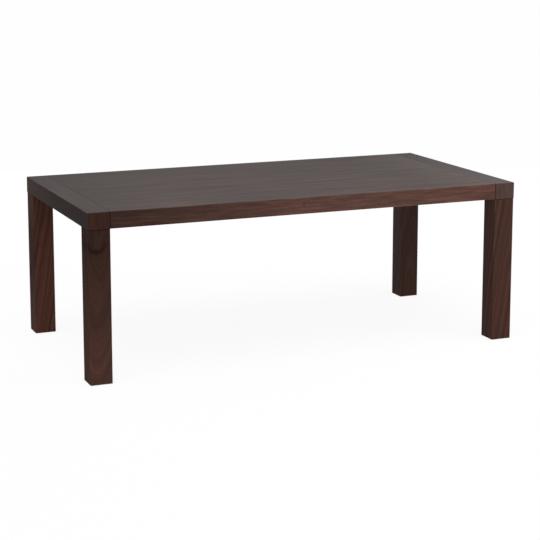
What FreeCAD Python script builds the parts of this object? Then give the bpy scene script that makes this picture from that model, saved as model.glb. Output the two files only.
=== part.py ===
import FreeCAD, Part
import os
import Sketcher

# Dining table with a deep mitre-folded edge, breadboard caps and four square legs.
# Millimetres, +Z up, origin on the floor under the middle of the table.
# +X runs along the table to its right end, +Y from the front edge to the back edge.

DIMENSIONS = {
    # overall sizes
    "table_length": 2100,
    "table_width": 1060,
    "table_height": 765,
    # folded top
    "edge_height": 75,
    "board_thickness": 25,
    "arris_radius": 1.5,
    "seam_groove": 0.8,
    # legs
    "leg_width": 100,
    "leg_inset": 1.5,
    "leg_arris": 1.5,
    "leg_foot_bevel": 1,
    "stub_shoulder": 3,
    "stub_chamfer": 30,
    "stub_side_gap": 0.5,
    "stub_top_gap": 1,
    # loose tongues in the cap seams
    "tongue_width": 24,
    "tongue_thickness": 8,
    "tongue_stop": 50,
    # loose tenons between aprons and returns
    "tenon_length": 40,
    "tenon_thickness": 8,
    "tenon_height": 32,
    "tenon_rise": 8,
    # room round what fits into grooves, mortises and holes
    "side_clearance": 0.1,
    "end_clearance": 0.5,
    # cross rails and seam battens under the boards
    "rail_width": 60,
    "rail_height": 45,
    "rail_from_seam": 430,
    "batten_width": 60,
    "batten_height": 20,
    "batten_end_gap": 20,
    "bar_chamfer": 4,
    # glue blocks in the inside corners
    "block_size": 30,
    "block_length": 90,
    "block_bracket_gap": 60,
    "block_batten_gap": 15,
    "block_end_spacing": 300,
    # steel corner brackets, hooked into saw kerfs, and hanger bolts
    "bracket_plate": 3,
    "bracket_height": 40,
    "bracket_hook": 10,
    "bracket_stand_off": 8,
    "bolt_diameter": 8,
    "bolt_spacing": 22,
    "bolt_grip": 45,
    "bolt_end": 5,
    "washer_diameter": 16,
    "washer_thickness": 1.6,
    "nut_across_corners": 15,
    "nut_height": 6.5,
    # push-in glides under the legs
    "glide_diameter": 30,
    "glide_thickness": 3,
    "glide_pin_diameter": 8,
    "glide_pin_length": 20,
}

doc = FreeCAD.newDocument("dining_table")
sheet = doc.addObject("Spreadsheet::Sheet", "dims")
for row, (alias, size) in enumerate(DIMENSIONS.items(), start=1):
    sheet.set(f"A{row}", alias)
    sheet.set(f"B{row}", str(size))
    sheet.setAlias(f"B{row}", alias)
doc.recompute()

# Places that several pieces share, as formulas on the sheet.
HALF_LENGTH = "(dims.table_length / 2)"
HALF_WIDTH = "(dims.table_width / 2)"
TOP = "dims.table_height"
THICKNESS = "dims.board_thickness"
UNDERSIDE = "(dims.table_height - dims.board_thickness)"
EDGE_BOTTOM = "(dims.table_height - dims.edge_height)"
CAP_WIDTH = "(dims.leg_inset + dims.leg_width)"
SEAM_X = f"({HALF_LENGTH} - {CAP_WIDTH})"
INNER_X = f"({HALF_LENGTH} - {THICKNESS})"
INNER_Y = f"({HALF_WIDTH} - {THICKNESS})"
BOARD_MIDDLE = f"({TOP} - {THICKNESS} / 2)"

# The corner seen from where the two aprons meet inside: the stub, then the bracket beyond it.
STUB_REACH = f"({CAP_WIDTH} - {THICKNESS} - dims.stub_shoulder)"
STUB_HEIGHT = f"({UNDERSIDE} - {EDGE_BOTTOM} - dims.stub_top_gap)"
BOLT_SEAT = f"({STUB_REACH} - dims.stub_chamfer / 2)"
BRACKET_REACH = f"(2 * {BOLT_SEAT} + dims.bracket_stand_off * sqrt(2))"
BRACKET_END = f"({BRACKET_REACH} + dims.bracket_plate)"
BRACKET_MIDDLE = f"({EDGE_BOTTOM} + {STUB_HEIGHT} / 2)"
NUT_SEAT = "(dims.bracket_stand_off + dims.bracket_plate + dims.washer_thickness)"
RAIL_X = f"({SEAM_X} - dims.rail_from_seam)"

X_AXIS = FreeCAD.Vector(1, 0, 0)
Y_AXIS = FreeCAD.Vector(0, 1, 0)
Z_AXIS = FreeCAD.Vector(0, 0, 1)
CORNERS = {"front_left": (-1, -1), "front_right": (1, -1), "rear_right": (1, 1), "rear_left": (-1, 1)}

nodes = []


def value(formula):
    return float(sheet.evalExpression(formula))


def bind(piece, **formulas):
    for name, formula in formulas.items():
        piece.setExpression(name, formula)


def place(piece, rotation, x="0", y="0", z="0"):
    piece.Placement = FreeCAD.Placement(FreeCAD.Vector(), rotation)
    for axis, formula in zip("xyz", (x, y, z)):
        piece.setExpression(f"Placement.Base.{axis}", formula)


def turn(angle):
    return FreeCAD.Rotation(Z_AXIS, angle)


def corner_turns():
    return zip(CORNERS.items(), (0, 90, 180, 270))


def node(piece, label):
    piece.Label = label
    nodes.append(piece)
    return piece


def outline(body, plane, corners, height="0"):
    """Closed sketch through the corners, each one held by its two bound coordinates."""
    sketch = body.newObject("Sketcher::SketchObject", f"{body.Name}_{plane}_outline")
    support = next(feature for feature in body.Origin.OriginFeatures if feature.Role == plane)
    sketch.AttachmentSupport = [(support, "")]
    sketch.MapMode = "FlatFace"
    sketch.setExpression("AttachmentOffset.Base.z", height)
    points = [FreeCAD.Vector(value(x), value(y), 0) for x, y in corners]
    ends = points[1:] + points[:1]
    for start, end in zip(points, ends):
        sketch.addGeometry(Part.LineSegment(start, end), False)
    for side in range(len(points)):
        following = (side + 1) % len(points)
        sketch.addConstraint(Sketcher.Constraint("Coincident", side, 2, following, 1))
    for side, (x, y) in enumerate(corners):
        for kind, formula in (("DistanceX", x), ("DistanceY", y)):
            index = sketch.addConstraint(Sketcher.Constraint(kind, side, 1, value(formula)))
            sketch.setExpression(f"Constraints[{index}]", formula)
    return sketch


def padded(body, plane, corners, length, height="0", both_ways=False):
    pad = body.newObject("PartDesign::Pad", f"{body.Name}_{plane}_pad")
    pad.Profile = outline(body, plane, corners, height)
    pad.setExpression("Length", length)
    if both_ways:
        pad.SideType = "Symmetric"
    return pad


def turned(name, profile):
    """Round piece from half of its lengthwise section, given as radius and height."""
    body = doc.addObject("PartDesign::Body", name)
    lathe = body.newObject("PartDesign::Revolution", f"{name}_lathe")
    lathe.Profile = outline(body, "XZ_Plane", profile)
    lathe.ReferenceAxis = (lathe.Profile[0], ["V_Axis"])
    lathe.Angle = 360
    return body


def rod(name, diameter, low, high):
    """Plain round rod between two heights."""
    radius = f"({diameter}) / 2"
    return turned(name, [("0", low), (radius, low), (radius, high), ("0", high)])


def group(name, pieces):
    compound = doc.addObject("Part::Compound", name)
    compound.Links = pieces
    return compound


def copies(name, source, places):
    """One group of identical pieces, each turned and placed."""
    links = []
    for number, (rotation, x, y, z) in enumerate(places, start=1):
        link = doc.addObject("App::Link", f"{name}_{number}")
        link.LinkedObject = source
        place(link, rotation, x, y, z)
        links.append(link)
    return group(name, links)


def cut_from(piece, *cutters):
    """The piece with each cutter taken away in turn."""
    for cutter in cutters:
        cut = doc.addObject("Part::Cut", f"{piece.Name}_less_{cutter.Name}")
        cut.Base = piece
        cut.Tool = cutter
        piece = cut
    return piece


# Seams, tongues and tenons of the top

def seam_grooves():
    """Fine V grooves over both cap seams, on top and down the front and back, which run out past each end."""
    groove = "dims.seam_groove"
    length = f"dims.table_width + 2 * {groove}"
    depth = f"dims.edge_height + 2 * {groove}"
    low = f"{EDGE_BOTTOM} - {groove}"
    bars = []
    for side, sign in (("left", "-"), ("right", "")):
        seam = f"{sign}{SEAM_X}"
        bar = doc.addObject("PartDesign::Body", f"{side}_top_groove")
        diamond = [
            (f"{seam} - {groove}", TOP),
            (seam, f"{TOP} - {groove}"),
            (f"{seam} + {groove}", TOP),
            (seam, f"{TOP} + {groove}"),
        ]
        padded(bar, "XZ_Plane", diamond, length, both_ways=True)
        bars.append(bar)
        for face, y in (("front", f"-{HALF_WIDTH}"), ("rear", HALF_WIDTH)):
            bar = doc.addObject("PartDesign::Body", f"{side}_{face}_groove")
            diamond = [
                (f"{seam} - {groove}", y),
                (seam, f"{y} - {groove}"),
                (f"{seam} + {groove}", y),
                (seam, f"{y} + {groove}"),
            ]
            padded(bar, "XY_Plane", diamond, depth, low)
            bars.append(bar)
    return group("seam_grooves", bars)


def joint_box(name, middle, sizes, room=("0", "0", "0")):
    """Box about a middle point, grown by some room on each of its six sides."""
    box = doc.addObject("Part::Box", name)
    spans = [f"({size} + 2 * {gap})" for size, gap in zip(sizes, room)]
    bind(box, Length=spans[0], Width=spans[1], Height=spans[2])
    place(box, turn(0), *(f"{centre} - {span} / 2" for centre, span in zip(middle, spans)))
    return box


def tongues_and_grooves():
    """A loose tongue in each cap seam, stopped short of the front and back faces."""
    sizes = ("dims.tongue_width", "(dims.table_width - 2 * dims.tongue_stop)", "dims.tongue_thickness")
    room = ("dims.end_clearance", "dims.end_clearance", "dims.side_clearance")
    grooves = []
    for side, sign in (("left", "-"), ("right", "")):
        middle = (f"{sign}{SEAM_X}", "0", BOARD_MIDDLE)
        node(joint_box(f"{side}_tongue", middle, sizes), f"{side}_tongue")
        grooves.append(joint_box(f"{side}_tongue_groove", middle, sizes, room))
    return group("tongue_grooves", grooves)


def tenons_and_mortises():
    """A loose tenon across each seam between an apron's end and the return beside it."""
    sizes = ("dims.tenon_length", "dims.tenon_thickness", "dims.tenon_height")
    room = ("dims.end_clearance", "dims.side_clearance", "dims.end_clearance")
    tenons = []
    mortises = []
    for corner, (x, y) in CORNERS.items():
        middle = (
            f"{x} * {SEAM_X}",
            f"{y} * ({HALF_WIDTH} - {THICKNESS} / 2)",
            f"{EDGE_BOTTOM} + dims.tenon_rise + dims.tenon_height / 2",
        )
        tenons.append(joint_box(f"{corner}_tenon", middle, sizes))
        mortises.append(joint_box(f"{corner}_mortise", middle, sizes, room))
    node(group("apron_tenons", tenons), "apron_tenons")
    return group("apron_mortises", mortises)


# Mitre-folded top

def eased_top_block():
    """The whole top as one block with eased arrises, out of which every board of the top is cut."""
    block = doc.addObject("PartDesign::Body", "eased_top_block")
    corners = [
        (f"-{HALF_LENGTH}", f"-{HALF_WIDTH}"),
        (HALF_LENGTH, f"-{HALF_WIDTH}"),
        (HALF_LENGTH, HALF_WIDTH),
        (f"-{HALF_LENGTH}", HALF_WIDTH),
    ]
    pad = padded(block, "XY_Plane", corners, "dims.edge_height", EDGE_BOTTOM)
    doc.recompute()
    ease = block.newObject("PartDesign::Fillet", "eased_arrises")
    ease.Base = (pad, ["Edge1"])
    ease.UseAllEdges = True
    ease.setExpression("Radius", "dims.arris_radius")
    return block


def mitred_board(label, block, rotation, face, run, rise, cutters):
    """Board of the folded top. Its outer face lies the given distance out from the origin.

    run and rise give the two ends of the outer face along and across the board, and whether each
    end is mitred, so that the inner face is shorter there by the board's thickness.
    """
    blank = doc.addObject("Part::Wedge", f"{label}_blank")
    bind(blank, Ymin=f"-{face}", Ymax=f"-{face} + {THICKNESS}")
    for axis, (low, high, low_mitred, high_mitred) in (("X", run), ("Z", rise)):
        blank.setExpression(f"{axis}min", low)
        blank.setExpression(f"{axis}max", high)
        blank.setExpression(f"{axis}2min", f"{low} + {THICKNESS}" if low_mitred else low)
        blank.setExpression(f"{axis}2max", f"{high} - {THICKNESS}" if high_mitred else high)
    place(blank, rotation)
    board = doc.addObject("Part::Common", f"{label}_board")
    board.Base = block
    board.Tool = blank
    node(cut_from(board, *cutters), label)


def folded_top(seams, grooves, mortises, kerfs):
    block = eased_top_block()
    flat = FreeCAD.Rotation(X_AXIS, -90)
    across = (f"-{HALF_WIDTH}", HALF_WIDTH, True, True)
    field_run = (f"-{SEAM_X}", SEAM_X, False, False)
    left_run = (f"-{HALF_LENGTH}", f"-{SEAM_X}", True, False)
    right_run = (SEAM_X, HALF_LENGTH, False, True)
    depth = (EDGE_BOTTOM, TOP, False, True)

    mitred_board("field_panel", block, flat, TOP, field_run, across, (seams, grooves))
    mitred_board("left_cap_board", block, flat, TOP, left_run, across, (seams, grooves))
    mitred_board("right_cap_board", block, flat, TOP, right_run, across, (seams, grooves))

    mitred_board("front_apron", block, turn(0), HALF_WIDTH, field_run, depth, (seams, mortises, kerfs))
    mitred_board("rear_apron", block, turn(180), HALF_WIDTH, field_run, depth, (seams, mortises, kerfs))
    mitred_board("right_end_apron", block, turn(90), HALF_LENGTH, across, depth, (kerfs,))
    mitred_board("left_end_apron", block, turn(270), HALF_LENGTH, across, depth, (kerfs,))

    mitred_board("front_left_return", block, turn(0), HALF_WIDTH, left_run, depth, (seams, mortises))
    mitred_board("front_right_return", block, turn(0), HALF_WIDTH, right_run, depth, (seams, mortises))
    mitred_board("rear_right_return", block, turn(180), HALF_WIDTH, left_run, depth, (seams, mortises))
    mitred_board("rear_left_return", block, turn(180), HALF_WIDTH, right_run, depth, (seams, mortises))


# Bars and blocks under the boards

def underside_bar(label, x, width, height, length):
    """Bar across the table, flat against the boards, with its two lower arrises taken off."""
    bar = doc.addObject("PartDesign::Body", label)
    half = f"{width} / 2"
    low = f"{UNDERSIDE} - {height}"
    ease = "dims.bar_chamfer"
    section = [
        (f"-{half}", UNDERSIDE),
        (f"-{half}", f"{low} + {ease}"),
        (f"-{half} + {ease}", low),
        (f"{half} - {ease}", low),
        (half, f"{low} + {ease}"),
        (half, UNDERSIDE),
    ]
    padded(bar, "XZ_Plane", section, length, both_ways=True)
    place(bar, turn(0), x)
    node(bar, label)


def bars():
    rail_length = f"2 * {INNER_Y}"
    for side, x in (("left", f"-{RAIL_X}"), ("centre", "0"), ("right", RAIL_X)):
        underside_bar(f"{side}_cross_rail", x, "dims.rail_width", "dims.rail_height", rail_length)
    batten_length = f"2 * ({INNER_Y} - {BRACKET_END} - dims.batten_end_gap)"
    for side, x in (("left", f"-{SEAM_X}"), ("right", SEAM_X)):
        underside_bar(f"{side}_seam_batten", x, "dims.batten_width", "dims.batten_height", batten_length)


def glue_block(name, size):
    """Three-cornered block for the inside corner between a board and an apron."""
    block = doc.addObject("PartDesign::Body", name)
    triangle = [("0", "0"), (size, "0"), ("0", f"-{size}")]
    padded(block, "YZ_Plane", triangle, "dims.block_length", both_ways=True)
    return block


def glue_blocks():
    """Blocks that back the mitres, between the rails and brackets, and beside the seam battens."""
    side_block = glue_block("side_glue_block", "dims.block_size")
    end_size = f"({CAP_WIDTH} - {THICKNESS} - dims.batten_width / 2 - dims.block_batten_gap)"
    end_block = glue_block("end_glue_block", end_size)
    outer = f"({INNER_X} - {BRACKET_END} - dims.block_bracket_gap - dims.block_length / 2)"
    along = [f"{sign} * {offset}" for offset in (f"{RAIL_X} / 2", outer) for sign in (-1, 1)]
    ends = [f"{sign} * dims.block_end_spacing / 2" for sign in (-1, 1)]
    rows = {
        "front_glue_blocks": (side_block, [(turn(0), x, f"-{INNER_Y}", UNDERSIDE) for x in along]),
        "rear_glue_blocks": (side_block, [(turn(180), x, INNER_Y, UNDERSIDE) for x in along]),
        "right_glue_blocks": (end_block, [(turn(90), INNER_X, y, UNDERSIDE) for y in ends]),
        "left_glue_blocks": (end_block, [(turn(270), f"-{INNER_X}", y, UNDERSIDE) for y in ends]),
    }
    for label, (block, places) in rows.items():
        node(copies(label, block, places), label)


# Legs with their brackets, bolts and glides

def leg_blank(corner):
    """Square leg with eased arrises and, on top of it, the stub that stands inside the folded edge.

    It is drawn for the front left corner about its own middle, with the inside of the table at +X +Y.
    """
    leg = doc.addObject("PartDesign::Body", f"{corner}_leg_blank")
    half = "dims.leg_width / 2"
    square = [(f"-{half}", f"-{half}"), (half, f"-{half}"), (half, half), (f"-{half}", half)]
    shaft = padded(leg, "XY_Plane", square, f"{EDGE_BOTTOM} - dims.glide_thickness", "dims.glide_thickness")
    doc.recompute()
    uprights = [
        f"Edge{number}"
        for number, edge in enumerate(shaft.Shape.Edges, start=1)
        if abs(edge.tangentAt(edge.FirstParameter).z) > 0.5
    ]
    ease = leg.newObject("PartDesign::Fillet", f"{corner}_leg_arrises")
    ease.Base = (shaft, uprights)
    ease.setExpression("Radius", "dims.leg_arris")
    doc.recompute()
    foot = next(
        f"Face{number}"
        for number, face in enumerate(ease.Shape.Faces, start=1)
        if face.CenterOfMass.z < ease.Shape.BoundBox.ZMin + value("dims.leg_arris")
    )
    bevel = leg.newObject("PartDesign::Chamfer", f"{corner}_leg_foot_bevel")
    bevel.Base = (ease, [foot])
    bevel.setExpression("Size", "dims.leg_foot_bevel")

    outer = f"({THICKNESS} - dims.leg_inset + dims.stub_side_gap - {half})"
    inner = f"({half} - dims.stub_shoulder)"
    cut_back = f"{inner} - dims.stub_chamfer"
    stub = [(outer, outer), (inner, outer), (inner, cut_back), (cut_back, inner), (outer, inner)]
    top = leg.newObject("PartDesign::Pad", f"{corner}_leg_stub")
    top.Profile = outline(leg, "XY_Plane", stub, EDGE_BOTTOM)
    top.setExpression("Length", STUB_HEIGHT)
    return leg


def corner_places():
    """The inside corners of the folded edge, each turned so that the table's inside lies at +X +Y."""
    return [
        (turn(angle), f"{x} * {INNER_X}", f"{y} * {INNER_Y}", "0") for (_, (x, y)), angle in corner_turns()
    ]


def bracket_blank(corner):
    """Bent steel plate across the corner, with a hook at each end that sits in a kerf of the apron."""
    bracket = doc.addObject("PartDesign::Body", f"{corner}_bracket_blank")
    reach = BRACKET_REACH
    end = BRACKET_END
    bend = "(dims.bracket_plate * (sqrt(2) - 1))"
    hook = "-dims.bracket_hook"
    strip = [
        (reach, hook),
        (end, hook),
        (end, bend),
        (bend, end),
        (hook, end),
        (hook, reach),
        ("0", reach),
        (reach, "0"),
    ]
    bottom = f"{BRACKET_MIDDLE} - dims.bracket_height / 2"
    padded(bracket, "XY_Plane", strip, "dims.bracket_height", bottom)
    return bracket


def bracket_kerfs():
    """Saw kerfs for the hooks, open at the lower edge of the aprons."""
    room = "dims.side_clearance"
    over = "dims.end_clearance"
    width = f"(dims.bracket_plate + 2 * {room})"
    depth = f"(dims.bracket_hook + 2 * {over})"
    height = f"({BRACKET_MIDDLE} + dims.bracket_height / 2 + 2 * {over} - {EDGE_BOTTOM})"
    low = f"{EDGE_BOTTOM} - {over}"
    start = f"{BRACKET_REACH} - {room}"
    back = f"-(dims.bracket_hook + {over})"
    kerfs = []
    for name, spans, corner in (
        ("long_apron_kerf", (width, depth), (start, back)),
        ("end_apron_kerf", (depth, width), (back, start)),
    ):
        kerf = doc.addObject("Part::Box", name)
        bind(kerf, Length=spans[0], Width=spans[1], Height=height)
        place(kerf, turn(0), *corner, low)
        kerfs.append(kerf)
    return copies("bracket_kerfs", group("kerf_pair", kerfs), corner_places())


def bolt_places():
    return [
        (
            turn(angle).multiply(FreeCAD.Rotation(Z_AXIS, X_AXIS + Y_AXIS)),
            f"{x} * ({INNER_X} - {BOLT_SEAT})",
            f"{y} * ({INNER_Y} - {BOLT_SEAT})",
            f"{BRACKET_MIDDLE} + {level} * dims.bolt_spacing",
        )
        for (_, (x, y)), angle in corner_turns()
        for level in (-0.5, 0.5)
    ]


def bolts_and_holes():
    """Hanger bolts square to the stub's chamfer, at height 0, with a washer and a nut on the bracket."""
    places = bolt_places()
    plate_face = "(dims.bracket_stand_off + dims.bracket_plate)"
    nut_top = f"({NUT_SEAT} + dims.nut_height)"
    bolt_top = f"({nut_top} + dims.bolt_end)"
    bore = "(dims.bolt_diameter / 2 + dims.side_clearance)"
    bolt = rod("hanger_bolt", "dims.bolt_diameter", "-dims.bolt_grip", bolt_top)
    rim = "dims.washer_diameter / 2"
    washer = turned("washer", [(bore, plate_face), (rim, plate_face), (rim, NUT_SEAT), (bore, NUT_SEAT)])
    drill = rod("bolt_drill", f"2 * {bore}", "-(dims.bolt_grip + dims.end_clearance)", bolt_top)

    hexagon = doc.addObject("Part::Prism", "nut_blank")
    hexagon.Polygon = 6
    bind(hexagon, Circumradius="dims.nut_across_corners / 2", Height="dims.nut_height")
    place(hexagon, turn(0), z=NUT_SEAT)
    nut = cut_from(hexagon, drill)

    node(copies("hanger_bolts", bolt, places), "hanger_bolts")
    node(copies("bolt_washers", washer, places), "bolt_washers")
    node(copies("bolt_nuts", nut, places), "bolt_nuts")
    return copies("bolt_holes", drill, places)


def glides():
    """Nylon glides with a pin pushed into each leg's end, and the holes for the pins."""
    centre_x = f"({HALF_LENGTH} - dims.leg_inset - dims.leg_width / 2)"
    centre_y = f"({HALF_WIDTH} - dims.leg_inset - dims.leg_width / 2)"
    places = [(turn(0), f"{x} * {centre_x}", f"{y} * {centre_y}", "0") for x, y in CORNERS.values()]
    seat = "dims.glide_thickness"
    rim = "dims.glide_diameter / 2"
    pin = "dims.glide_pin_diameter / 2"
    tip = "(dims.glide_thickness + dims.glide_pin_length)"
    glide = turned("glide", [("0", "0"), (rim, "0"), (rim, seat), (pin, seat), (pin, tip), ("0", tip)])
    bore = "(dims.glide_pin_diameter + 2 * dims.side_clearance)"
    drill = rod("glide_pin_drill", bore, "0", f"{tip} + dims.end_clearance")
    node(copies("leg_glides", glide, places), "leg_glides")
    return copies("glide_pin_holes", drill, places)


def legs_and_brackets(bolt_holes, pin_holes):
    middle = "(dims.leg_inset + dims.leg_width / 2)"
    for (corner, (x, y)), angle in corner_turns():
        leg = leg_blank(corner)
        place(leg, turn(angle), f"{x} * ({HALF_LENGTH} - {middle})", f"{y} * ({HALF_WIDTH} - {middle})")
        node(cut_from(leg, bolt_holes, pin_holes), f"{corner}_leg")
        bracket = bracket_blank(corner)
        place(bracket, turn(angle), f"{x} * {INNER_X}", f"{y} * {INNER_Y}")
        node(cut_from(bracket, bolt_holes), f"{corner}_bracket")


def check_pieces():
    for piece in doc.Objects:
        if "Invalid" in piece.State or "Error" in piece.State:
            raise RuntimeError(f"{piece.Label} failed: {piece.State}")
    for piece in nodes:
        if piece.Shape.isNull() or not piece.Shape.isValid() or not piece.Shape.Solids:
            raise RuntimeError(f"{piece.Label} has no valid solid")


def write_pieces():
    os.makedirs("parts", exist_ok=True)
    for piece in nodes:
        piece.Shape.exportStep(f"parts/{piece.Label}.step")
        print(f"{piece.Label}: {len(piece.Shape.Solids)} solid(s), {piece.Shape.Volume / 1000:.1f} cm3")


folded_top(seam_grooves(), tongues_and_grooves(), tenons_and_mortises(), bracket_kerfs())
bars()
glue_blocks()
legs_and_brackets(bolts_and_holes(), glides())
doc.recompute()
check_pieces()
write_pieces()
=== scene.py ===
import math

import bpy
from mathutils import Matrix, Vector


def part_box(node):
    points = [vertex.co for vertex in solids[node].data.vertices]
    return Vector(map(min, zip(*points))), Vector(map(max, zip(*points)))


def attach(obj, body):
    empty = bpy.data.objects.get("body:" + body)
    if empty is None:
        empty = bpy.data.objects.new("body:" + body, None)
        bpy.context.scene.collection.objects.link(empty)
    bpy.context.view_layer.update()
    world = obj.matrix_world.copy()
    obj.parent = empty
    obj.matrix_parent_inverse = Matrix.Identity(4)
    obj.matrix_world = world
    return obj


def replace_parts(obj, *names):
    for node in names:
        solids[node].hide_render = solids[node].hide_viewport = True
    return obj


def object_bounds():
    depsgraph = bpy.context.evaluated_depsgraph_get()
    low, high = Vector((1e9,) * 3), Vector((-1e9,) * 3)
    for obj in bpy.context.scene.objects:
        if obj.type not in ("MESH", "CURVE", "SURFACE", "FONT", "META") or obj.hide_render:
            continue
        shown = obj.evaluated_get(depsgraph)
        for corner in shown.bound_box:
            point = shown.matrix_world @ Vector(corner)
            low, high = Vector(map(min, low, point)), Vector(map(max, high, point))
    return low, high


# Looks of a dining table with a mitre-folded top, breadboard caps and four square legs.
# Metres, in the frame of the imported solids: +X along the table, +Y from front to back, +Z up.

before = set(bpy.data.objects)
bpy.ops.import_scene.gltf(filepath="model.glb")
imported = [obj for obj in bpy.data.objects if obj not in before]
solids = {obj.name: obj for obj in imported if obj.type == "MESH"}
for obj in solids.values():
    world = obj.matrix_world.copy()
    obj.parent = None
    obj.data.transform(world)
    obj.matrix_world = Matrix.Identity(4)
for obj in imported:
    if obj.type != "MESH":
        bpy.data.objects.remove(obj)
cad_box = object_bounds()

# Sides of X and Y that each corner lies on
CORNERS = {"front_left": (-1, -1), "front_right": (1, -1), "rear_right": (1, 1), "rear_left": (-1, 1)}

# Places read from the solids
SEAM_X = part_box("field_panel")[1].x
FRONT_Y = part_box("front_apron")[0].y
BACK_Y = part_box("rear_apron")[1].y
EDGE_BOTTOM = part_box("front_apron")[0].z

# Directions that a board's grain can run in
ALONG = (1, 0, 0)
ACROSS = (0, 1, 0)
UPRIGHT = (0, 0, 1)

# Colours of the late wood, of the wood between and of the early wood
RED_BROWN = ((0.018, 0.0082, 0.0064), (0.056, 0.0235, 0.0168), (0.110, 0.0450, 0.0310))
WARM_BROWN = ((0.022, 0.0115, 0.0092), (0.062, 0.0305, 0.0238), (0.112, 0.0530, 0.0405))
GREY_BROWN = ((0.030, 0.0180, 0.0150), (0.066, 0.0410, 0.0355), (0.102, 0.0650, 0.0570))
ASH_BROWN = ((0.030, 0.0230, 0.0218), (0.066, 0.0510, 0.0480), (0.102, 0.0790, 0.0740))
BARE_BEECH = ((0.36, 0.235, 0.130), (0.48, 0.335, 0.200), (0.58, 0.430, 0.280))

# Casts that a colour is multiplied by where the stain took less, and where it took more
COOL_CAST = (0.93, 1.03, 1.05)
RED_CAST = (1.07, 0.97, 0.95)

# How many times a metre each pattern repeats along, and across, the grain
WANDER_SCALE = (1.1, 5.0, 5.0)
FIBRE_SCALE = (9.0, 420.0, 420.0)
PORE_SCALE = (55.0, 1500.0, 1500.0)
MOTTLE_SCALE = (1.3, 7.0, 7.0)
LINES_PER_RING = 5.0

# Middle of a noise's values
NOISE_MIDDLE = (0.5, 0.5, 0.5)

# Spans of values that become 0 to 1: of wood's patterns, of pores, of a sum of patterns, and of clouds
NOISE_SPAN = (0.25, 0.75)
PORE_SPAN = (0.60, 0.72)
FIGURE_SPAN = (0.22, 0.78)
CLOUD_SPAN = (0.3, 0.7)

# Sizes of the figure in broad boards, narrow edges, plain legs and legs sawn aslant
BROAD_FIGURE = {"Ring Spacing": 0.016, "Wander": 0.05, "Streak Length": 0.45, "Streak Width": 0.024}
EDGE_FIGURE = {"Ring Spacing": 0.006, "Wander": 0.05, "Streak Length": 0.16, "Streak Width": 0.012}
LEG_FIGURE = {"Ring Spacing": 0.016, "Wander": 0.05, "Streak Length": 0.45, "Streak Width": 0.038}
SLANT_FIGURE = {"Ring Spacing": 0.013, "Wander": 0.06, "Streak Length": 0.45, "Streak Width": 0.038}

# Point of a pith line far outside the table, as in boards sawn from the side of a log
FAR_PITH = (0, -3, 0)

# Shares of each pattern in a board cut near its pith, in one with dark lines and in one cut straight
ARCHED = {"Bands": 0.55, "Lines": 0.25, "Fibre": 0.20}
LINED = {"Bands": 0.45, "Lines": 0.35, "Fibre": 0.20}
STRAIGHT = {"Streaks": 0.75, "Lines": 0.10, "Fibre": 0.15}

# Share of its light that the wood keeps in each mark
PORE_LIGHT = 0.6
KNOT_LIGHT = 0.72
CRESCENT_LIGHT = 0.40
# The dark face mark is painted shade on the rear left leg's left face, where its sheen is missing
PAINTED_FACE_SHADE_LIGHT = 0.5
# The joint mark is stain at a seam, and painted shade under the edge at a leg's top
JOINT_LIGHT = 0.05

# How many times lighter an arris is with its wear and painted highlight, and how far clouds in the stain
# stray from even
WORN_AND_HIGHLIGHT_GAIN = 2.2
CLOUD_STRAY = 0.08

# Widths of the stain at a seam, of the painted shade under the edge at a leg's top, and of the wear and
# painted highlight on an arris
SEAM_STAIN = 0.0028
LEG_TOP_SHADE = 0.005
WORN_AND_HIGHLIGHT_WIDTH = 0.003

# Where an arris is rubbed and painted with a highlight: patches in a metre, and the span of their noise from
# none to all
RUB_SCALE = (9.0, 9.0, 9.0)
RUB_SPAN = (0.35, 0.65)

# Share of a patch that is all dark, and a crescent's width and its rise past the middle in its own radius
PATCH_HEART = 0.3
CRESCENT_WIDTH = 0.48
CRESCENT_RISE = 0.8

# How far in from a leg's left face its painted light reaches
FACE_DEPTH = 0.002

# Surface of the late and early wood, relief of its fibres beside its pores, and the lacquer over it
WOOD_ROUGHNESS = (0.70, 0.60)
FIBRE_RELIEF = 0.3
PORE_DEPTH = 0.0002
RELIEF_STRENGTH = 0.25
LACQUER_ROUGHNESS = 0.3

# Zinc from dull to bright with its clouds in a metre, and nylon from dark to pale with its grain
ZINC = ((0.42, 0.41, 0.39), (0.60, 0.59, 0.55), (0.72, 0.71, 0.68))
ZINC_CLOUDS = (60.0, 60.0, 60.0)
ZINC_ROUGHNESS = (0.30, 0.48)
NYLON = ((0.018, 0.017, 0.016), (0.042, 0.040, 0.038))
NYLON_GRAIN = (900.0, 900.0, 900.0)
NYLON_ROUGHNESS = (0.48, 0.62)
NYLON_RELIEF = {"Strength": 0.2, "Distance": 0.0001}

# Hanger bolts: flats round a rod, rows of faces in a turn, the tip's share of the radius, and thread sizes
THREAD_SIDES = 20
THREAD_ROWS = 4
THREAD_TIP = 0.78
BOLT_RADIUS = 0.004
MACHINE_THREAD = {"Machine Length": 0.0255, "Machine Pitch": 0.00125, "Machine Depth": 0.00065}
WOOD_THREAD = {"Wood Pitch": 0.0035, "Wood Depth": 0.0011}

# Screws with a cross recess, how deep their heads bed in and how many hold a board of each kind
SCREW_HEAD = {"Radius": 0.004, "Height": 0.0026, "Seed": 4}
SCREW_SINK = 0.0002
SCREW_COUNT = {"rail": 4, "batten": 6}

# Shape of a screw's head, as shares of its radius and its height
HEAD_FACES = {"Vertices": 28, "Side Segments": 5, "Fill Segments": 4}
HEAD_TAPER = 0.14
HEAD_FALL = 0.38
RECESS_REACH = 1.15
RECESS_WIDTH = 0.24
RECESS_DEPTH = 0.55

# Studio: half the floor's side, its paint, the share of it that shows as white, and the light all round
FLOOR_REACH = 80.0
FLOOR_PAINT = (0.9, 0.9, 0.9, 1)
FLOOR_WHITE = 0.92
SKY_LEVEL = 0.4
WHITE = (1, 1, 1, 1)


# Node trees

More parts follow.
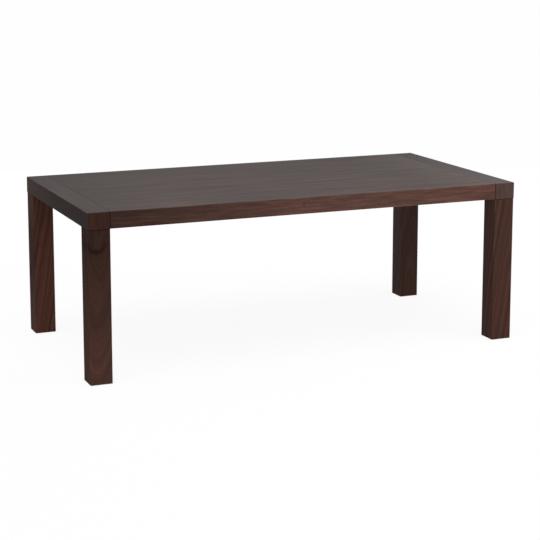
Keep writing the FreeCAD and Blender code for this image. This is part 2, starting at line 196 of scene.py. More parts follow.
def add_node(tree, kind, inputs=(), **settings):
    """New node with its settings. An input is given a value, or the output that is joined to it."""
    node = tree.nodes.new(kind)
    for name, setting in settings.items():
        setattr(node, name, setting)
    for key, source in dict(inputs).items():
        if isinstance(source, bpy.types.NodeSocket):
            tree.links.new(source, node.inputs[key])
        else:
            node.inputs[key].default_value = source
    return node


def calc(tree, operation, *terms):
    return add_node(tree, "ShaderNodeMath", enumerate(terms), operation=operation).outputs[0]


def calc_vector(tree, operation, *terms):
    return add_node(tree, "ShaderNodeVectorMath", enumerate(terms), operation=operation).outputs["Vector"]


def scaled(tree, vector, factor):
    inputs = {0: vector, "Scale": factor}
    return add_node(tree, "ShaderNodeVectorMath", inputs, operation="SCALE").outputs["Vector"]


def length_of(tree, vector):
    return add_node(tree, "ShaderNodeVectorMath", {0: vector}, operation="LENGTH").outputs["Value"]


def axes_of(tree, vector):
    return add_node(tree, "ShaderNodeSeparateXYZ", {0: vector}).outputs


def vector_from(tree, *axes):
    return add_node(tree, "ShaderNodeCombineXYZ", enumerate(axes)).outputs[0]


def remap(tree, source, low, high, new_low=0.0, new_high=1.0):
    """The source carried from one span of numbers to another, and held within it."""
    spans = {"Value": source, "From Min": low, "From Max": high, "To Min": new_low, "To Max": new_high}
    return add_node(tree, "ShaderNodeMapRange", spans).outputs["Result"]


def noise(tree, vector, scale, detail=2.0, roughness=0.5):
    """Noise that repeats at its own rate along each axis."""
    stretched = calc_vector(tree, "MULTIPLY", vector, scale)
    inputs = {"Vector": stretched, "Scale": 1.0, "Detail": detail, "Roughness": roughness}
    return add_node(tree, "ShaderNodeTexNoise", inputs).outputs


def layered_noise(tree, depth, detail, roughness=0.5):
    """Noise in layers, which only change with the depth."""
    inputs = {"W": depth, "Scale": 1.0, "Detail": detail, "Roughness": roughness}
    return add_node(tree, "ShaderNodeTexNoise", inputs, noise_dimensions="1D").outputs[0]


def new_group(name, kind, inputs, outputs):
    """Node group with sockets of the given kinds, and the two ends that its nodes are joined to."""
    tree = bpy.data.node_groups.new(name, kind)
    for direction, sockets in (("INPUT", inputs), ("OUTPUT", outputs)):
        for label, socket in sockets.items():
            tree.interface.new_socket(label, in_out=direction, socket_type=f"NodeSocket{socket}")
    return tree, tree.nodes.new("NodeGroupInput").outputs, tree.nodes.new("NodeGroupOutput").inputs


# Wood

def wood_figure():
    """Figure of a board whose grain runs along X about its pith line, each output from 0 to 1."""
    inputs = {"Vector": "Vector", **{size: "Float" for size in BROAD_FIGURE}}
    outputs = {name: "Float" for name in ("Bands", "Lines", "Streaks", "Fibre", "Mottle", "Pores")}
    tree, given, out = new_group("wood_figure", "ShaderNodeTree", inputs, outputs)
    place = given["Vector"]
    drift = noise(tree, place, WANDER_SCALE, detail=3.0)["Color"]
    sway = calc_vector(tree, "SUBTRACT", drift, NOISE_MIDDLE)
    wandered = calc_vector(tree, "ADD", place, scaled(tree, sway, given["Wander"]))
    from_pith = length_of(tree, calc_vector(tree, "MULTIPLY", wandered, (0.0, 1.0, 1.0)))
    rings = calc(tree, "DIVIDE", from_pith, given["Ring Spacing"])
    lines = calc(tree, "MULTIPLY", rings, LINES_PER_RING)
    along = calc(tree, "DIVIDE", 1.0, given["Streak Length"])
    across = calc(tree, "DIVIDE", 1.0, given["Streak Width"])
    streaks = vector_from(tree, along, across, across)
    patterns = {
        "Bands": layered_noise(tree, rings, detail=1.5),
        "Lines": layered_noise(tree, lines, detail=2.0, roughness=0.6),
        "Streaks": noise(tree, wandered, streaks, detail=3.0, roughness=0.6)[0],
        "Fibre": noise(tree, place, FIBRE_SCALE, detail=3.0, roughness=0.6)[0],
        "Mottle": noise(tree, place, MOTTLE_SCALE)[0],
        "Pores": noise(tree, place, PORE_SCALE, detail=1.0)[0],
    }
    for name, pattern in patterns.items():
        span = PORE_SPAN if name == "Pores" else NOISE_SPAN
        tree.links.new(remap(tree, pattern, *span), out[name])
    return tree


FIGURE = wood_figure()


def board_figure(tree, place, grain, pith, sizes):
    """Figure of a board with its grain in the given direction, and its pith line through the given point."""
    turn = Vector(grain).to_track_quat("X", "Z").to_euler()
    inputs = {"Vector": place, "Location": pith, "Rotation": turn}
    board = add_node(tree, "ShaderNodeMapping", inputs, vector_type="TEXTURE").outputs["Vector"]
    return add_node(tree, "ShaderNodeGroup", {"Vector": board, **sizes}, node_tree=FIGURE).outputs


def board_streak(tree, figure, shares, contrast):
    """Share of early wood at each spot, from 0 to 1, with a half everywhere at no contrast."""
    streak = 0.0
    for pattern, share in shares.items():
        streak = calc(tree, "MULTIPLY_ADD", figure[pattern], share, streak)
    return remap(tree, streak, *FIGURE_SPAN, (1 - contrast) / 2, (1 + contrast) / 2)


def tone_along(tree, place, axis, span, tones):
    """Tone or warmth that changes evenly between two places on one axis, which the boards mostly use for
    painted light, shade and sheen.
    """
    return remap(tree, axes_of(tree, place)[axis], *span, *tones)


def joint_stain_and_shade(tree, place, axis, position, width):
    """1 beside a joint at plus and minus the position on one axis, else 0: stain gathered in a seam, and
    painted shade under the edge at a leg's top.
    """
    coordinate = calc(tree, "ABSOLUTE", axes_of(tree, place)[axis])
    away = calc(tree, "ABSOLUTE", calc(tree, "SUBTRACT", coordinate, position))
    return remap(tree, away, 0.0, width, 1.0, 0.0)


def arris_wear_and_highlight(tree, place, low, high):
    """1 on the arrises of a box, fading to 0 over their width: rubbed wear with a painted highlight, left
    whole in places.
    """
    middle = (low + high) / 2
    half = (high - low) / 2
    from_middle = calc_vector(tree, "ABSOLUTE", calc_vector(tree, "SUBTRACT", place, middle))
    inward = calc_vector(tree, "ABSOLUTE", calc_vector(tree, "SUBTRACT", half, from_middle))
    x, y, z = axes_of(tree, inward)
    second_nearest = calc(tree, "MINIMUM", calc(tree, "MAXIMUM", x, y), z)
    second_nearest = calc(tree, "MAXIMUM", calc(tree, "MINIMUM", x, y), second_nearest)
    rubbed = remap(tree, noise(tree, place, RUB_SCALE, detail=3.0)[0], *RUB_SPAN)
    return calc(tree, "MULTIPLY", remap(tree, second_nearest, 0.0, WORN_AND_HIGHLIGHT_WIDTH, 1.0, 0.0), rubbed)


def patch_shade(tree, place, centre, size):
    """1 in the heart of a dark patch, such as a small knot, fading to 0 at its rim; one patch is painted
    shade on a leg's left face.
    """
    offset = calc_vector(tree, "SUBTRACT", place, centre)
    away = length_of(tree, calc_vector(tree, "DIVIDE", offset, size))
    return remap(tree, away, PATCH_HEART, 1.0, 1.0, 0.0)


def crescent_shade(tree, place, centre, radius):
    """1 in the dark crescent that a knot leaves under itself on an upright face, else 0."""
    offset = calc_vector(tree, "SUBTRACT", place, centre)
    away = length_of(tree, calc_vector(tree, "MULTIPLY", offset, (1.0, 0.0, 1.0)))
    from_rim = calc(tree, "ABSOLUTE", calc(tree, "SUBTRACT", away, radius))
    rim = remap(tree, from_rim, 0.0, CRESCENT_WIDTH * radius, 1.0, 0.0)
    below = remap(tree, axes_of(tree, offset)["Z"], -radius, CRESCENT_RISE * radius, 1.0, 0.0)
    return calc(tree, "MULTIPLY", rim, below)


def darken(tree, shade, mark, light):
    """The shade, brought down to a share of its light where the mark is 1."""
    return calc(tree, "MULTIPLY", shade, remap(tree, mark, 0.0, 1.0, 1.0, light))


def board_shade(tree, place, figure, tone=1.0, drifts=(), joint=None, arris=None, patches=(), crescent=None):
    """How light each spot of a board is: cloudy, dark in its pores and patches, pale on its arrises, with
    painted light and shade in its drifts, joint lines, highlights and some patches.
    """
    clouds = (tone * (1 - CLOUD_STRAY), tone * (1 + CLOUD_STRAY))
    shade = remap(tree, figure["Mottle"], 0.0, 1.0, *clouds)
    shade = darken(tree, shade, figure["Pores"], PORE_LIGHT)
    # Slow drifts of tone, most of them painted light, shade and sheen
    for drift in drifts:
        shade = calc(tree, "MULTIPLY", shade, tone_along(tree, place, *drift))
    # Arrises paler with rubbed wear, and with a painted highlight where a rounded arris would catch the light
    if arris:
        edge_wear_and_highlight = arris_wear_and_highlight(tree, place, *arris)
        shade = calc(tree, "MULTIPLY", shade, remap(tree, edge_wear_and_highlight, 0.0, 1.0, 1.0, WORN_AND_HIGHLIGHT_GAIN))
    for centre, size, light in patches:
        shade = darken(tree, shade, patch_shade(tree, place, centre, size), light)
    if crescent:
        shade = darken(tree, shade, crescent_shade(tree, place, *crescent), CRESCENT_LIGHT)
    # Dark joint line: stain in a seam, painted shade under the edge at a leg's top
    if joint:
        shade = darken(tree, shade, joint_stain_and_shade(tree, place, *joint), JOINT_LIGHT)
    return shade


def new_material(name):
    material = bpy.data.materials.new(name)
    material.use_nodes = True
    tree = material.node_tree
    tree.nodes.clear()
    surface = tree.nodes.new("ShaderNodeBsdfPrincipled")
    add_node(tree, "ShaderNodeOutputMaterial", {"Surface": surface.outputs[0]})
    place = tree.nodes.new("ShaderNodeTexCoord").outputs["Object"]
    return material, tree, surface.inputs, place


def colour_ramp(tree, share, colours):
    """Colours at even steps from 0 to 1."""
    ramp = add_node(tree, "ShaderNodeValToRGB", {0: share})
    stops = ramp.color_ramp.elements
    while len(stops) < len(colours):
        stops.new(0.5)
    for step, colour in enumerate(colours):
        stops[step].position = step / (len(colours) - 1)
        stops[step].color = (*colour, 1.0)
    return ramp.outputs["Color"]


def wood(name, colours, grain, shares, sizes, contrast, warmth=None, coat=0.06, pith=FAR_PITH, **marks):
    """Board of solid wood, stained and lacquered, with its tone and its marks as board_shade takes them.

    Its clouds go from a cool cast to a red one, and less far where the drift of its warmth is under 1.
    """
    material, tree, surface, place = new_material(name)
    figure = board_figure(tree, place, grain, pith, sizes)
    streak = board_streak(tree, figure, shares, contrast)
    shade = board_shade(tree, place, figure, **marks)
    redness = figure["Mottle"]
    if warmth:
        redness = calc(tree, "MULTIPLY", redness, tone_along(tree, place, *warmth))
    cast = colour_ramp(tree, redness, (COOL_CAST, RED_CAST))
    colour = calc_vector(tree, "MULTIPLY", colour_ramp(tree, streak, colours), cast)
    tree.links.new(scaled(tree, colour, shade), surface["Base Color"])
    tree.links.new(remap(tree, streak, 0.0, 1.0, *WOOD_ROUGHNESS), surface["Roughness"])
    height = calc(tree, "SUBTRACT", calc(tree, "MULTIPLY", figure["Fibre"], FIBRE_RELIEF), figure["Pores"])
    relief = {"Height": height, "Strength": RELIEF_STRENGTH, "Distance": PORE_DEPTH}
    tree.links.new(add_node(tree, "ShaderNodeBump", relief).outputs[0], surface["Normal"])
    surface["Specular IOR Level"].default_value = 0.0
    surface["Coat Weight"].default_value = coat
    surface["Coat Roughness"].default_value = LACQUER_ROUGHNESS
    return material


# Metal and plastic

def zinc_plate():
    material, tree, surface, place = new_material("zinc_plate")
    cloud = noise(tree, place, ZINC_CLOUDS, detail=4.0)[0]
    tree.links.new(colour_ramp(tree, cloud, ZINC), surface["Base Color"])
    tree.links.new(remap(tree, cloud, *CLOUD_SPAN, *ZINC_ROUGHNESS), surface["Roughness"])
    surface["Metallic"].default_value = 1.0
    return material


def black_nylon():
    material, tree, surface, place = new_material("black_nylon")
    grain = noise(tree, place, NYLON_GRAIN)[0]
    tree.links.new(colour_ramp(tree, grain, NYLON), surface["Base Color"])
    tree.links.new(remap(tree, grain, *CLOUD_SPAN, *NYLON_ROUGHNESS), surface["Roughness"])
    relief = add_node(tree, "ShaderNodeBump", {"Height": grain, **NYLON_RELIEF})
    tree.links.new(relief.outputs[0], surface["Normal"])
    return material


STEEL = zinc_plate()


# Dressing the solids

def dress(material, *names):
    """Gives a material to solids of the frame."""
    for name in names:
        slots = solids[name].data.materials
        slots.clear()
        slots.append(material)


def dress_top():
    """Boards and edge of the top, with the seam stain and the arris wear with its painted highlight that they
    share.
    """
    table_low, table_high = cad_box
    edge_low = Vector((table_low.x, table_low.y, EDGE_BOTTOM))
    marks = {"joint": ("X", SEAM_X, SEAM_STAIN), "arris": (edge_low, table_high)}
    dress_boards(marks)
    dress_edge(marks)


def dress_boards(marks):
    """Field with its grain along the table, between caps with theirs across it and a colour of their own,
    with painted light and sheen in slow drifts.
    """
    # Painted light on the field: shade at the left end and toward the back, and a paler, greyer right end as
    # painted sheen
    painted_shade_left_end = ("X", (-SEAM_X, -0.65 * SEAM_X), (0.68, 1.0))
    painted_sheen_right_end = ("X", (0.7 * SEAM_X, SEAM_X), (1.0, 1.6))
    painted_sheen_grey_right_end = ("X", (0.5 * SEAM_X, 0.9 * SEAM_X), (1.0, 0.0))
    painted_shade_back = ("Y", (FRONT_Y, BACK_Y), (0.94, 0.60))
    # Painted shade toward the back of the left cap; painted sheen toward the front of the right cap, whose
    # ash-grey colour partly stands for that sheen too
    painted_shade_rear_half = ("Y", (0, BACK_Y), (0.53, 0.32))
    painted_sheen_front_end = ("Y", (FRONT_Y, BACK_Y), (1.18, 0.38))
    field = wood(
        "field_wood",
        GREY_BROWN,
        ALONG,
        STRAIGHT,
        BROAD_FIGURE,
        contrast=0.62,
        warmth=painted_sheen_grey_right_end,
        coat=0.235,
        drifts=[painted_shade_left_end, painted_sheen_right_end, painted_shade_back],
        **marks,
    )
    cap = {"contrast": 0.3, "coat": 0.25, **marks}
    across = (ACROSS, STRAIGHT, BROAD_FIGURE)
    left_cap = wood("left_cap_wood", GREY_BROWN, *across, drifts=[painted_shade_rear_half], **cap)
    right_cap = wood("right_cap_wood", ASH_BROWN, *across, drifts=[painted_sheen_front_end], **cap)
    dress(field, "field_panel")
    dress(left_cap, "left_cap_board")
    dress(right_cap, "right_cap_board")


def dress_edge(marks):
    """Aprons with their grain along the edge, and returns with the upright grain of the folded cap."""
    # Painted light from the key lamp: the aprons grow paler toward the right, then a little dimmer at their
    # right end
    painted_key_light_right = ("X", (-SEAM_X, 0), (0.64, 1.38))
    dim_right_end = ("X", (0.5 * SEAM_X, SEAM_X), (1.0, 0.88))
    # Painted light on the end aprons: the left one darker in shade, and both paler toward the back as painted
    # sheen
    painted_shade_left_apron = ("X", (-SEAM_X, SEAM_X), (0.32, 0.60))
    painted_sheen_rear_end = ("Y", (0, BACK_Y), (1.0, 2.4))
    knot_place = (-0.042, FRONT_Y, 0.73)
    knot_size = (0.009, 0.02, 0.014)
    apron = wood(
        "apron_wood",
        WARM_BROWN,
        ALONG,
        STRAIGHT,
        EDGE_FIGURE,
        contrast=0.45,
        coat=0.08,
        drifts=[painted_key_light_right, dim_right_end],
        patches=[(knot_place, knot_size, KNOT_LIGHT)],
        **marks,
    )
    end = wood(
        "end_wood",
        GREY_BROWN,
        ACROSS,
        STRAIGHT,
        BROAD_FIGURE,
        contrast=0.2,
        coat=0.09,
        drifts=[painted_shade_left_apron, painted_sheen_rear_end],
        **marks,
    )
    upright = (UPRIGHT, STRAIGHT, EDGE_FIGURE)
    left_return = wood("left_return_wood", RED_BROWN, *upright, contrast=0.2, tone=0.68, **marks)
    right_return = wood("right_return_wood", GREY_BROWN, *upright, contrast=0.28, tone=0.90, **marks)
    dress(apron, "front_apron", "rear_apron")
    dress(end, "left_end_apron", "right_end_apron")
    dress(left_return, "front_left_return", "rear_left_return")
    dress(right_return, "front_right_return", "rear_right_return")


def dress_leg(corner, colours, pith, **looks):
    """Leg with its own figure. A point of its pith line is given from the leg's middle on the floor."""
    low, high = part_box(f"{corner}_leg")
    middle = (low + high) / 2
    heart = Vector((middle.x, middle.y, 0)) + Vector(pith)
    # At the leg's top the joint line is painted shade under the overhanging edge; its arrises carry wear and
    # a painted highlight
    marks = {"joint": ("Z", EDGE_BOTTOM, LEG_TOP_SHADE), "arris": (low, high)}
    leg = wood(f"{corner}_leg_wood", colours, pith=heart, **looks, **marks)
    dress(leg, f"{corner}_leg")


def left_face_painted_light(corner, factor):
    """Drift of painted light that multiplies the left face of a leg by a factor, and leaves its other faces
    as they are.
    """
    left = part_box(f"{corner}_leg")[0].x
    return ("X", (left, left + FACE_DEPTH), (factor, 1.0))


def dress_front_left_leg():
    """Cut near its pith, with a dark crescent under the edge and a small knot, and painted light that makes
    it paler toward the floor, darker toward the top and a little darker on its left face.
    """
    # Painted light: paler low down as light bounced from the floor, darker high up as shade under the top
    painted_floor_light_and_top_shade = ("Z", (0, EDGE_BOTTOM), (1.28, 0.60))
    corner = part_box("front_left_leg")[0]
    crescent_place = corner + Vector((0.037, 0, 0.625))
    crescent_radius = 0.036
    knot_place = corner + Vector((0.029, 0, 0.37))
    knot_size = (0.007, 0.02, 0.010)
    dress_leg(
        "front_left",
        WARM_BROWN,
        grain=(0.04, 0.18, 1),
        pith=(0.0, -0.05, 0.78),
        shares=ARCHED,
        sizes=LEG_FIGURE,
        contrast=0.28,
        tone=0.78,
        coat=0.04,
        drifts=[painted_floor_light_and_top_shade, left_face_painted_light("front_left", 0.92)],
        patches=[(knot_place, knot_size, KNOT_LIGHT)],
        crescent=(crescent_place, crescent_radius),
    )


def dress_front_right_leg():
    """Sawn aslant, so that dark lines run out over its front."""
    dress_leg(
        "front_right",
        RED_BROWN,
        grain=(0.17, 0.02, 1),
        pith=(0.3, -0.3, 0.3),
        shares=LINED,
        sizes=SLANT_FIGURE,
        contrast=0.46,
        tone=0.80,
        coat=0.12,
    )


def dress_rear_right_leg():
    """Cut near its pith, with painted shade that darkens it a little toward the top, and painted light on its
    left face.
    """
    # Painted shade toward the top of the leg, under the table's top
    painted_shade_above = ("Z", (0, EDGE_BOTTOM), (0.95, 0.65))
    dress_leg(
        "rear_right",
        RED_BROWN,
        grain=(0.03, -0.12, 1),
        pith=(0.0, -0.05, 0.0),
        shares=ARCHED,
        sizes=LEG_FIGURE,
        contrast=0.46,
        tone=0.74,
        coat=0.145,
        drifts=[painted_shade_above, left_face_painted_light("rear_right", 1.35)],
    )


def dress_rear_left_leg():
    """Sawn aslant, with painted sheen and shade on its left face: a cool grey cast, dark at half its height.
    """
    # Painted sheen and shade on the left face: a grey cast all over, and dark at half the height
    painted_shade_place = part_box("rear_left_leg")[0] + Vector((0, 0.05, 0.38))
    painted_shade_size = (2 * FACE_DEPTH, 0.5, 0.3)
    dress_leg(
        "rear_left",
        RED_BROWN,
        grain=(0.15, 0.03, 1),
        pith=(-0.3, -0.3, 0.3),
        shares=LINED,
        sizes=SLANT_FIGURE,
        contrast=0.55,
        tone=1.12,
        warmth=left_face_painted_light("rear_left", 0.0),
        drifts=[left_face_painted_light("rear_left", 0.95)],
        patches=[(painted_shade_place, painted_shade_size, PAINTED_FACE_SHADE_LIGHT)],
    )


def dress_inside():
    """Bare wood under the top, plated steel and the glides."""
    near_pith = (0.1, 0, 0.5)
    bare = wood("bare_beech", BARE_BEECH, ACROSS, ARCHED, EDGE_FIGURE, contrast=0.8, coat=0.0, pith=near_pith)
    inner = [name for name in solids if name.endswith(("tongue", "tenons", "rail", "batten", "blocks"))]
    dress(bare, *inner)
    dress(STEEL, "bolt_washers", "bolt_nuts", *(f"{corner}_bracket" for corner in CORNERS))
    dress(black_nylon(), "leg_glides")


# Threads and screw heads

def put_points(tree, mesh, shares, base):
    """Multiplies each point by its shares of X, Y and Z, and lifts it to the base."""
    place = tree.nodes.new("GeometryNodeInputPosition").outputs[0]
    lift = vector_from(tree, 0.0, 0.0, base)
    moved = calc_vector(tree, "MULTIPLY_ADD", place, vector_from(tree, *shares), lift)
    return add_node(tree, "GeometryNodeSetPosition", {"Geometry": mesh, "Position": moved}).outputs[0]


def joined(tree, *meshes):
    join = tree.nodes.new("GeometryNodeJoinGeometry")
    for mesh in meshes:
        tree.links.new(mesh, join.inputs[0])
    return join.outputs[0]


def threaded_rod(tree, radius, length, pitch, depth, base):
    """Rod along Z from its base, with one thread wound round it and its lower end eased."""
    rows = calc(tree, "MULTIPLY", calc(tree, "DIVIDE", length, pitch), THREAD_ROWS)
    sizes = {"Vertices": THREAD_SIDES, "Side Segments": rows, "Radius": radius, "Depth": length}
    rod = add_node(tree, "GeometryNodeMeshCylinder", sizes).outputs["Mesh"]
    x, y, z = axes_of(tree, tree.nodes.new("GeometryNodeInputPosition").outputs[0])
    turn = calc(tree, "DIVIDE", calc(tree, "ARCTAN2", y, x), 2 * math.pi)
    wound = calc(tree, "SUBTRACT", calc(tree, "DIVIDE", z, pitch), turn)
    groove = calc(tree, "MULTIPLY", calc(tree, "PINGPONG", wound, 0.5), 2.0)
    cut = calc(tree, "MULTIPLY", groove, calc(tree, "DIVIDE", depth, radius))
    half = calc(tree, "MULTIPLY", length, 0.5)
    eased = remap(tree, calc(tree, "ADD", z, half), 0.0, pitch, THREAD_TIP, 1.0)
    share = calc(tree, "MULTIPLY", calc(tree, "SUBTRACT", 1.0, cut), eased)
    return put_points(tree, rod, (share, share, 1.0), calc(tree, "ADD", base, half))


def set_out(tree, given, out, piece, rotation):
    """Sets a piece on every point, as real faces of plated steel."""
    spread = {"Points": given["Geometry"], "Instance": piece, "Rotation": rotation}
    spread = add_node(tree, "GeometryNodeInstanceOnPoints", spread).outputs[0]
    faces = add_node(tree, "GeometryNodeRealizeInstances", {"Geometry": spread}).outputs[0]
    plated = add_node(tree, "GeometryNodeSetMaterial", {"Geometry": faces, "Material": STEEL}).outputs[0]
    tree.links.new(plated, out["Geometry"])


def hanger_bolt_tree():
    """Bolts along the axis at each point: a machine thread for the nut, then a coarse one in the wood."""
    sizes = ("Radius", *MACHINE_THREAD, "Wood Length", *WOOD_THREAD)
    inputs = {"Geometry": "Geometry", **{size: "Float" for size in sizes}}
    tree, given, out = new_group("hanger_bolts", "GeometryNodeTree", inputs, {"Geometry": "Geometry"})
    radius, length, pitch, depth, wood_length, wood_pitch, wood_depth = (given[size] for size in sizes)
    machine = threaded_rod(tree, radius, length, pitch, depth, 0.0)
    coarse = threaded_rod(tree, radius, wood_length, wood_pitch, wood_depth, length)
    named = add_node(tree, "GeometryNodeInputNamedAttribute", {"Name": "axis"}, data_type="FLOAT_VECTOR")
    aim = {"Vector": named.outputs["Attribute"]}
    turn = add_node(tree, "FunctionNodeAlignRotationToVector", aim, axis="Z").outputs["Rotation"]
    set_out(tree, given, out, joined(tree, machine, coarse), turn)
    return tree


def pan_head(tree, radius, height):
    """Domed head that stands on Z = 0."""
    sizes = {"Radius": radius, "Depth": height, **HEAD_FACES}
    disc = add_node(tree, "GeometryNodeMeshCylinder", sizes).outputs["Mesh"]
    disc = put_points(tree, disc, (1.0, 1.0, 1.0), calc(tree, "MULTIPLY", height, 0.5))
    place = tree.nodes.new("GeometryNodeInputPosition").outputs[0]
    rise = calc(tree, "DIVIDE", axes_of(tree, place)["Z"], height)
    from_axis = length_of(tree, calc_vector(tree, "MULTIPLY", place, (1.0, 1.0, 0.0)))
    across = calc(tree, "DIVIDE", from_axis, radius)
    narrowed = calc(tree, "MULTIPLY_ADD", calc(tree, "MULTIPLY", rise, rise), -HEAD_TAPER, 1.0)
    domed = calc(tree, "MULTIPLY_ADD", calc(tree, "MULTIPLY", across, across), -HEAD_FALL, 1.0)
    return put_points(tree, disc, (narrowed, narrowed, domed), 0.0)


def cross_recess(tree, radius, height):
    """Two bars that cross in the crown of a head."""
    reach = calc(tree, "MULTIPLY", radius, RECESS_REACH)
    width = calc(tree, "MULTIPLY", radius, RECESS_WIDTH)
    depth = calc(tree, "MULTIPLY", height, 2 * RECESS_DEPTH)
    bars = []
    for sides in ((reach, width, depth), (width, reach, depth)):
        bar = add_node(tree, "GeometryNodeMeshCube", {"Size": vector_from(tree, *sides)}).outputs["Mesh"]
        bars.append(put_points(tree, bar, (1.0, 1.0, 1.0), height))
    return joined(tree, *bars)


def screw_head_tree():
    """Cross-recess heads that face down from each point, each stopped at its own turn."""
    inputs = {"Geometry": "Geometry", "Radius": "Float", "Height": "Float", "Seed": "Int"}
    tree, given, out = new_group("screw_heads", "GeometryNodeTree", inputs, {"Geometry": "Geometry"})
    head = pan_head(tree, given["Radius"], given["Height"])
    recess = cross_recess(tree, given["Radius"], given["Height"])
    cut = {"Mesh 1": head, "Mesh 2": recess}
    cut = add_node(tree, "GeometryNodeMeshBoolean", cut, operation="DIFFERENCE").outputs["Mesh"]
    chance = add_node(tree, "FunctionNodeRandomValue", {"Seed": given["Seed"]}, data_type="FLOAT")
    spin = calc(tree, "MULTIPLY", chance.outputs["Value"], 2 * math.pi)
    face_down = vector_from(tree, math.pi, 0.0, spin)
    turn = add_node(tree, "FunctionNodeEulerToRotation", {"Euler": face_down}).outputs[0]
    set_out(tree, given, out, cut, turn)
    return tree


def grow(name, tree, points, sizes, axes=()):
    """Plain mesh that a node tree makes from points, and from an axis at each where one is needed."""
    mesh = bpy.data.meshes.new(name)
    mesh.from_pydata(points, [], [])
    if axes:
        attribute = mesh.attributes.new("axis", "FLOAT_VECTOR", "POINT")
        for spot, axis in zip(attribute.data, axes):
            spot.vector = axis
    piece = bpy.data.objects.new(name, mesh)
    bpy.context.scene.collection.objects.link(piece)
    modifier = piece.modifiers.new(name, "NODES")
    modifier.node_group = tree
    for label, size in sizes.items():
        modifier[tree.interface.items_tree[label].identifier] = size
    evaluated = piece.evaluated_get(bpy.context.evaluated_depsgraph_get())
    grown = bpy.data.meshes.new_from_object(evaluated)
    piece.modifiers.clear()
    piece.data = grown
    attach(piece, "root")
    return piece


def hanger_bolts():
    """Threaded bolts in place of the plain ones, from their free ends into the legs."""
    low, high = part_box("hanger_bolts")
    reach = [abs(vertex.co.x) + abs(vertex.co.y) for vertex in solids["hanger_bolts"].data.vertices]
    length = (max(reach) - min(reach)) / math.sqrt(2)
    ends = []
    axes = []
    for x, y in CORNERS.values():
        into_leg = Vector((x, y, 0)).normalized()
        for level in (low.z + BOLT_RADIUS, high.z - BOLT_RADIUS):
            tip = Vector((x * high.x, y * high.y, level)) - into_leg * BOLT_RADIUS
            ends.append(tip - into_leg * length)
            axes.append(into_leg)
    wood_length = length - MACHINE_THREAD["Machine Length"]
    sizes = {"Radius": BOLT_RADIUS, "Wood Length": wood_length, **MACHINE_THREAD, **WOOD_THREAD}
    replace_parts(grow("threaded_hanger_bolts", hanger_bolt_tree(), ends, sizes, axes), "hanger_bolts")


def board_screws():
    """Screws along the undersides of the cross rails and the seam battens."""
    seats = []
    for kind, count in SCREW_COUNT.items():
        for board in [name for name in solids if name.endswith(kind)]:
            low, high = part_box(board)
            for step in range(count):
                y = low.y + (high.y - low.y) * (step + 0.5) / count
                seats.append(((low.x + high.x) / 2, y, low.z + SCREW_SINK))
    grow("board_screws", screw_head_tree(), seats, SCREW_HEAD)


# Floor, light and camera

def shown_as_white(tree):
    """1 for rays that show the background itself, seen straight, in gloss or through glass."""
    path = tree.nodes.new("ShaderNodeLightPath").outputs
    seen = calc(tree, "MAXIMUM", path["Is Camera Ray"], path["Is Glossy Ray"])
    return calc(tree, "MAXIMUM", seen, path["Is Transmission Ray"])


def floor_material():
    """Pale paint that keeps the table's shadow under a share of plain white."""
    material = bpy.data.materials.new("pale_floor")
    material.use_nodes = True
    tree = material.node_tree
    tree.nodes.clear()
    paint = add_node(tree, "ShaderNodeBsdfDiffuse", {"Color": FLOOR_PAINT}).outputs[0]
    white = add_node(tree, "ShaderNodeEmission", {"Color": WHITE, "Strength": 1.0}).outputs[0]
    share = calc(tree, "MULTIPLY", shown_as_white(tree), FLOOR_WHITE)
    mixed = add_node(tree, "ShaderNodeMixShader", {0: share, 1: paint, 2: white}).outputs[0]
    add_node(tree, "ShaderNodeOutputMaterial", {"Surface": mixed})
    return material


def pale_floor():
    mesh = bpy.data.meshes.new("floor")
    points = [(FLOOR_REACH * x, FLOOR_REACH * y, 0) for x, y in CORNERS.values()]
    mesh.from_pydata(points, [], [range(len(points))])
    mesh.materials.append(floor_material())
    floor = bpy.data.objects.new("floor", mesh)
    bpy.context.scene.collection.objects.link(floor)


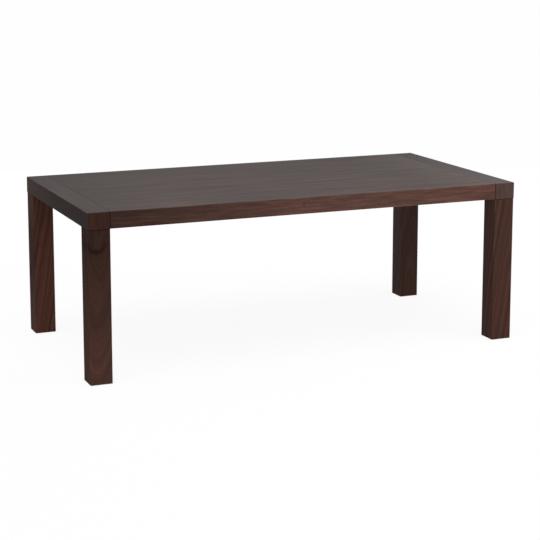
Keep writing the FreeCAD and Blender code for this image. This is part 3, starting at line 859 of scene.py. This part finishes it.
def white_surroundings():
    world = bpy.data.worlds.new("studio")
    bpy.context.scene.world = world
    world.use_nodes = True
    tree = world.node_tree
    tree.nodes.clear()
    plain = add_node(tree, "ShaderNodeBackground", {"Color": WHITE, "Strength": SKY_LEVEL}).outputs[0]
    white = add_node(tree, "ShaderNodeBackground", {"Color": WHITE, "Strength": 1.0}).outputs[0]
    mixed = add_node(tree, "ShaderNodeMixShader", {0: shown_as_white(tree), 1: plain, 2: white}).outputs[0]
    add_node(tree, "ShaderNodeOutputWorld", {"Surface": mixed})


def softbox(name, place, aim, size, watts, mirrored=True):
    """Lamp with an even face, which the camera doesn't see and gloss mirrors only if it is let."""
    lamp = bpy.data.lights.new(name, "AREA")
    lamp.shape = "RECTANGLE"
    lamp.size, lamp.size_y = size
    lamp.energy = watts
    holder = bpy.data.objects.new(name, lamp)
    holder.location = place
    holder.rotation_euler = (Vector(aim) - Vector(place)).to_track_quat("-Z", "Y").to_euler()
    holder.visible_camera = False
    holder.visible_glossy = mirrored
    bpy.context.scene.collection.objects.link(holder)


def soft_sun(name, tilt, level, spread):
    """Even light from above. A level of 1 shows a colour as it is written."""
    lamp = bpy.data.lights.new(name, "SUN")
    lamp.energy = level * math.pi
    lamp.angle = math.radians(spread)
    holder = bpy.data.objects.new(name, lamp)
    holder.rotation_euler = [math.radians(degrees) for degrees in tilt]
    bpy.context.scene.collection.objects.link(holder)


def photo_camera(place, down, right, lens, shift):
    """Camera turned down and to the right by so many degrees from a level look along the Y axis."""
    camera = bpy.data.objects.new("camera", bpy.data.cameras.new("camera"))
    camera.data.lens = lens
    camera.data.shift_y = shift
    camera.location = place
    camera.rotation_euler = (math.radians(90 - down), 0, math.radians(-right))
    bpy.context.scene.collection.objects.link(camera)
    bpy.context.scene.camera = camera


dress_top()
dress_front_left_leg()
dress_front_right_leg()
dress_rear_right_leg()
dress_rear_left_leg()
dress_inside()
hanger_bolts()
board_screws()
pale_floor()
white_surroundings()
softbox("key", place=(3.4, -3.4, 1.8), aim=(0.2, -0.3, 0.5), size=(2.4, 1.6), watts=85)
softbox("rear_fill", place=(1.5, 5.0, 0.9), aim=(0.2, 0.5, 0.5), size=(3.0, 1.2), watts=60, mirrored=False)
soft_sun("overhead", tilt=(20, -10, 0), level=0.6, spread=50)
photo_camera(place=(-2.845, -6.877, 1.979), down=9.614, right=22.562, lens=104.49, shift=-0.15)
bpy.context.scene.view_settings.view_transform = "Standard"
